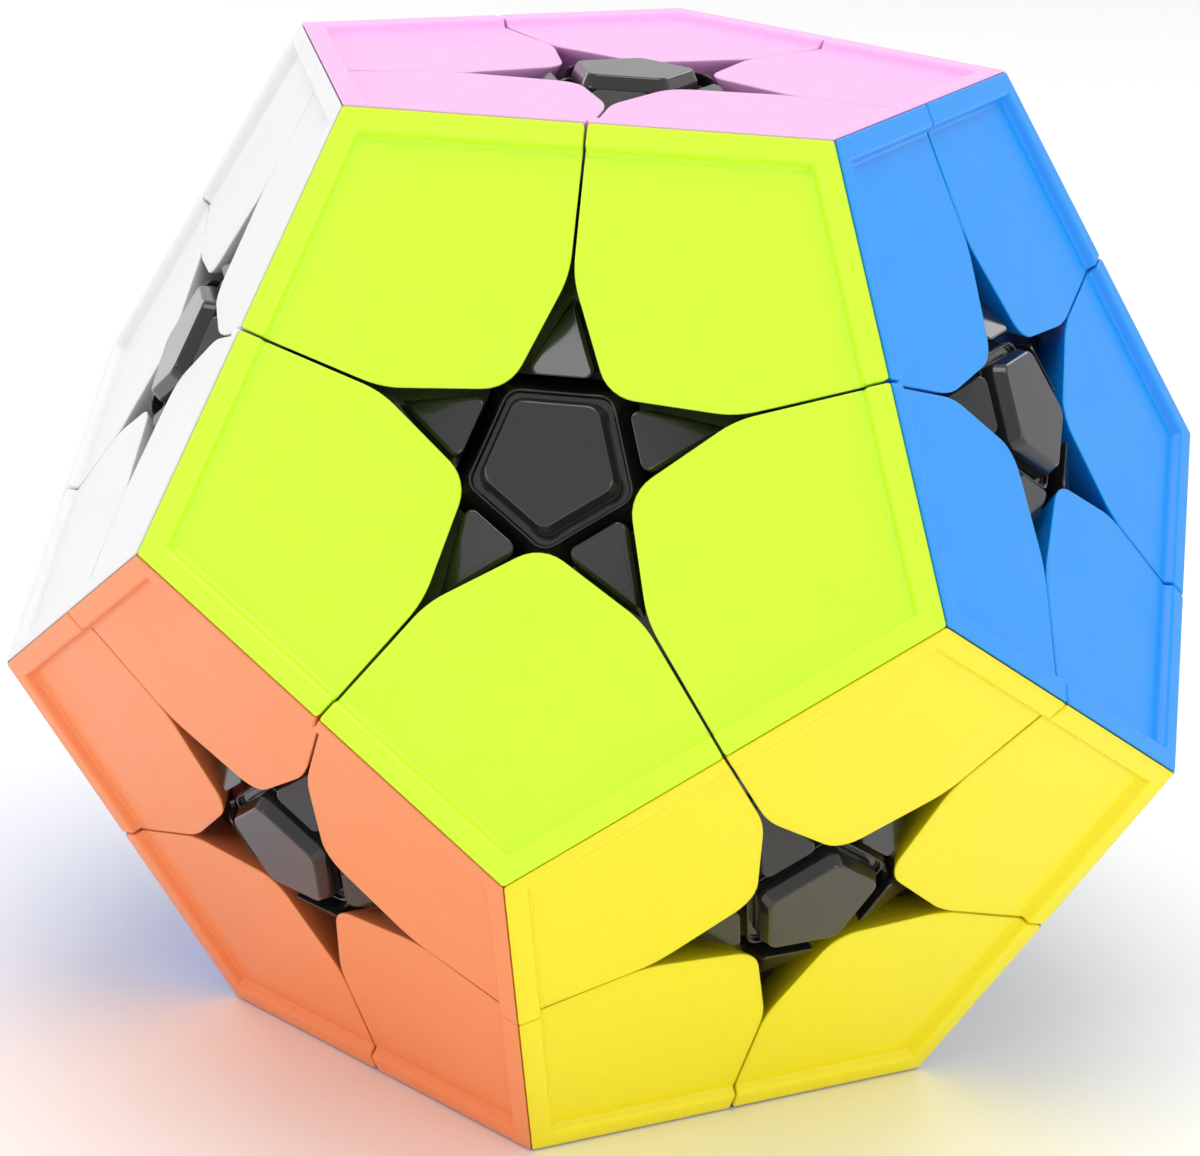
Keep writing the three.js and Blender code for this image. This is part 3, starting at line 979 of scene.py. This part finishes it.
class PUZZLE_OT_centres(bpy.types.Operator):
    """Make the twelve hubs, and the cap on each of them"""
    bl_idname = "puzzle.centres"
    bl_label = "Hubs and caps"

    def execute(self, context):
        hub = hub_shape(context.scene.puzzle_centres)
        cap = cap_shape(context.scene.puzzle_centres)
        for name in NAMES:
            node, body = body_of_pieces("centre", [name])
            matrix = face_frame(name)
            placed(f"hub_{name}", hub, matrix, finish("black_gloss"), body, [node])
            placed(f"cap_{name}", cap, matrix, finish("black_gloss"), body)
        return {"FINISHED"}


class PUZZLE_OT_fasteners(bpy.types.Operator):
    """Make the twelve screws, springs and washers, and finish the core"""
    bl_idname = "puzzle.fasteners"
    bl_label = "Core and fasteners"

    def execute(self, context):
        s = context.scene.puzzle_fasteners
        head_base = SCREW_HEAD_TOP * MM - s.head_height
        screws = on_axes("screws", screw_tree({
            "Length": s.screw_length, "Shank radius": s.shank_radius,
            "Thread length": s.screw_length - s.head_height - SCREW_END_GAP * MM,
            "Thread turns": float(s.thread_turns), "Thread depth": s.thread_depth,
            "Head radius": s.head_radius, "Head height": s.head_height,
        }), head_base, finish("screw_steel"))
        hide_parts(*[f"screw_{name}" for name in NAMES])
        washer = WASHER_THICKNESS * MM
        on_axes("washers", washer_tree({
            "Radius": WASHER_RADIUS * MM, "Width": WASHER_WIDTH * MM, "Thickness": washer,
        }), head_base - washer, finish("screw_steel"))
        seat = SPRING_SEAT * MM + s.wire_radius
        on_axes("springs", spring_tree({
            "Coil radius": s.spring_radius, "Wire radius": s.wire_radius,
            "Turns": float(s.spring_turns),
            "Length": head_base - 2 * washer - s.wire_radius - seat,
        }), seat, finish("screw_steel"))
        core = frame["nodes"]["core"]
        core.data.materials.clear()
        core.data.materials.append(finish("core_plastic"))
        return {"FINISHED"}


def area_light(name, place, size, power):
    data = bpy.data.lights.new(name, "AREA")
    data.shape = "DISK"
    data.size = size
    data.energy = power
    light = bpy.data.objects.new(name, data)
    light.location = place
    light.rotation_euler = (-Vector(place)).to_track_quat("-Z", "Y").to_euler()
    bpy.context.scene.collection.objects.link(light)


class PUZZLE_OT_stage(bpy.types.Operator):
    """Make the pale floor, the soft lights and the camera"""
    bl_idname = "puzzle.stage"
    bl_label = "Stage"

    def execute(self, context):
        s = context.scene.puzzle_stage
        half, low = s.floor_size / 2, -FACE_HEIGHT * MM
        corners = [(-half, -half, low), (half, -half, low), (half, half, low), (-half, half, low)]
        floor = bpy.data.objects.new("floor", mesh_from(corners, [(0, 1, 2, 3)]))
        context.scene.collection.objects.link(floor)
        floor.data.materials.append(plastic("floor_paper", (0.97, 0.97, 0.97, 1), 0.7, mottle=0.01))

        world = bpy.data.worlds.new("pale_studio")
        world.use_nodes = True
        sky = world.node_tree.nodes["Background"]
        sky.inputs["Color"].default_value = (1, 1, 1, 1)
        sky.inputs["Strength"].default_value = s.sky_strength
        context.scene.world = world
        context.scene.view_settings.view_transform = "Standard"
        area_light("overhead", (0.02, -0.05, 0.5), 0.35, s.key_power * 2.2)
        area_light("front_left", (-0.35, -0.42, 0.22), 0.25, s.key_power * 1.15)
        area_light("front_right", (0.42, -0.3, 0.12), 0.25, s.key_power)
        area_light("back_left", (-0.4, 0.4, 0.2), 0.3, s.key_power)
        area_light("back_right", (0.24, 0.5, 0.34), 0.3, s.key_power)

        azimuth, elevation, roll = (math.radians(a) for a in (7.539, 18.681, 2.651))
        back = Vector((math.sin(azimuth) * math.cos(elevation),
                       -math.cos(azimuth) * math.cos(elevation), math.sin(elevation)))
        right = Vector((math.cos(azimuth), math.sin(azimuth), 0))
        up = back.cross(right)
        turned_right = right * math.cos(roll) + up * math.sin(roll)
        turned_up = up * math.cos(roll) - right * math.sin(roll)
        turn = Matrix((turned_right, turned_up, back)).transposed()
        data = bpy.data.cameras.new("camera")
        data.lens = s.lens
        data.sensor_width = 36
        data.sensor_fit = "HORIZONTAL"
        data.clip_start = 0.01
        data.clip_end = 20
        camera = bpy.data.objects.new("camera", data)
        place = turn @ -Vector((0.665 * MM, 2.066 * MM, -211.594 * MM))
        camera.matrix_world = Matrix.Translation(place) @ turn.to_4x4()
        context.scene.collection.objects.link(camera)
        context.scene.camera = camera
        return {"FINISHED"}


OPERATORS = [PUZZLE_OT_tiles, PUZZLE_OT_feet, PUZZLE_OT_inner_edges, PUZZLE_OT_centres,
             PUZZLE_OT_fasteners, PUZZLE_OT_stage]
SETTINGS = {
    "puzzle_tiles": PuzzleTileSettings,
    "puzzle_edges": PuzzleEdgeSettings,
    "puzzle_centres": PuzzleCentreSettings,
    "puzzle_fasteners": PuzzleFastenerSettings,
    "puzzle_colours": PuzzleColourSettings,
    "puzzle_stage": PuzzleStageSettings,
}


class PUZZLE_PT_panel(bpy.types.Panel):
    """Lists the pieces of the puzzle, with their sizes and colours"""
    bl_idname = "PUZZLE_PT_panel"
    bl_label = "Twisty puzzle"
    bl_space_type = "VIEW_3D"
    bl_region_type = "UI"
    bl_category = "Puzzle"

    def draw(self, context):
        for operator in OPERATORS:
            self.layout.operator(operator.bl_idname)
        for attribute, group in SETTINGS.items():
            box = self.layout.box()
            box.label(text=group.__doc__)
            for name in group.__annotations__:
                box.prop(getattr(context.scene, attribute), name)


def register():
    for cls in [*SETTINGS.values(), *OPERATORS, PUZZLE_PT_panel]:
        bpy.utils.register_class(cls)
    for attribute, group in SETTINGS.items():
        setattr(bpy.types.Scene, attribute, bpy.props.PointerProperty(type=group))


def unregister():
    for attribute in SETTINGS:
        delattr(bpy.types.Scene, attribute)
    for cls in reversed([*SETTINGS.values(), *OPERATORS, PUZZLE_PT_panel]):
        bpy.utils.unregister_class(cls)


def main():
    register()
    bpy.ops.puzzle.stage()
    bpy.ops.puzzle.tiles()
    bpy.ops.puzzle.feet()
    bpy.ops.puzzle.inner_edges()
    bpy.ops.puzzle.centres()
    bpy.ops.puzzle.fasteners()


if __name__ == "__main__":
    main()
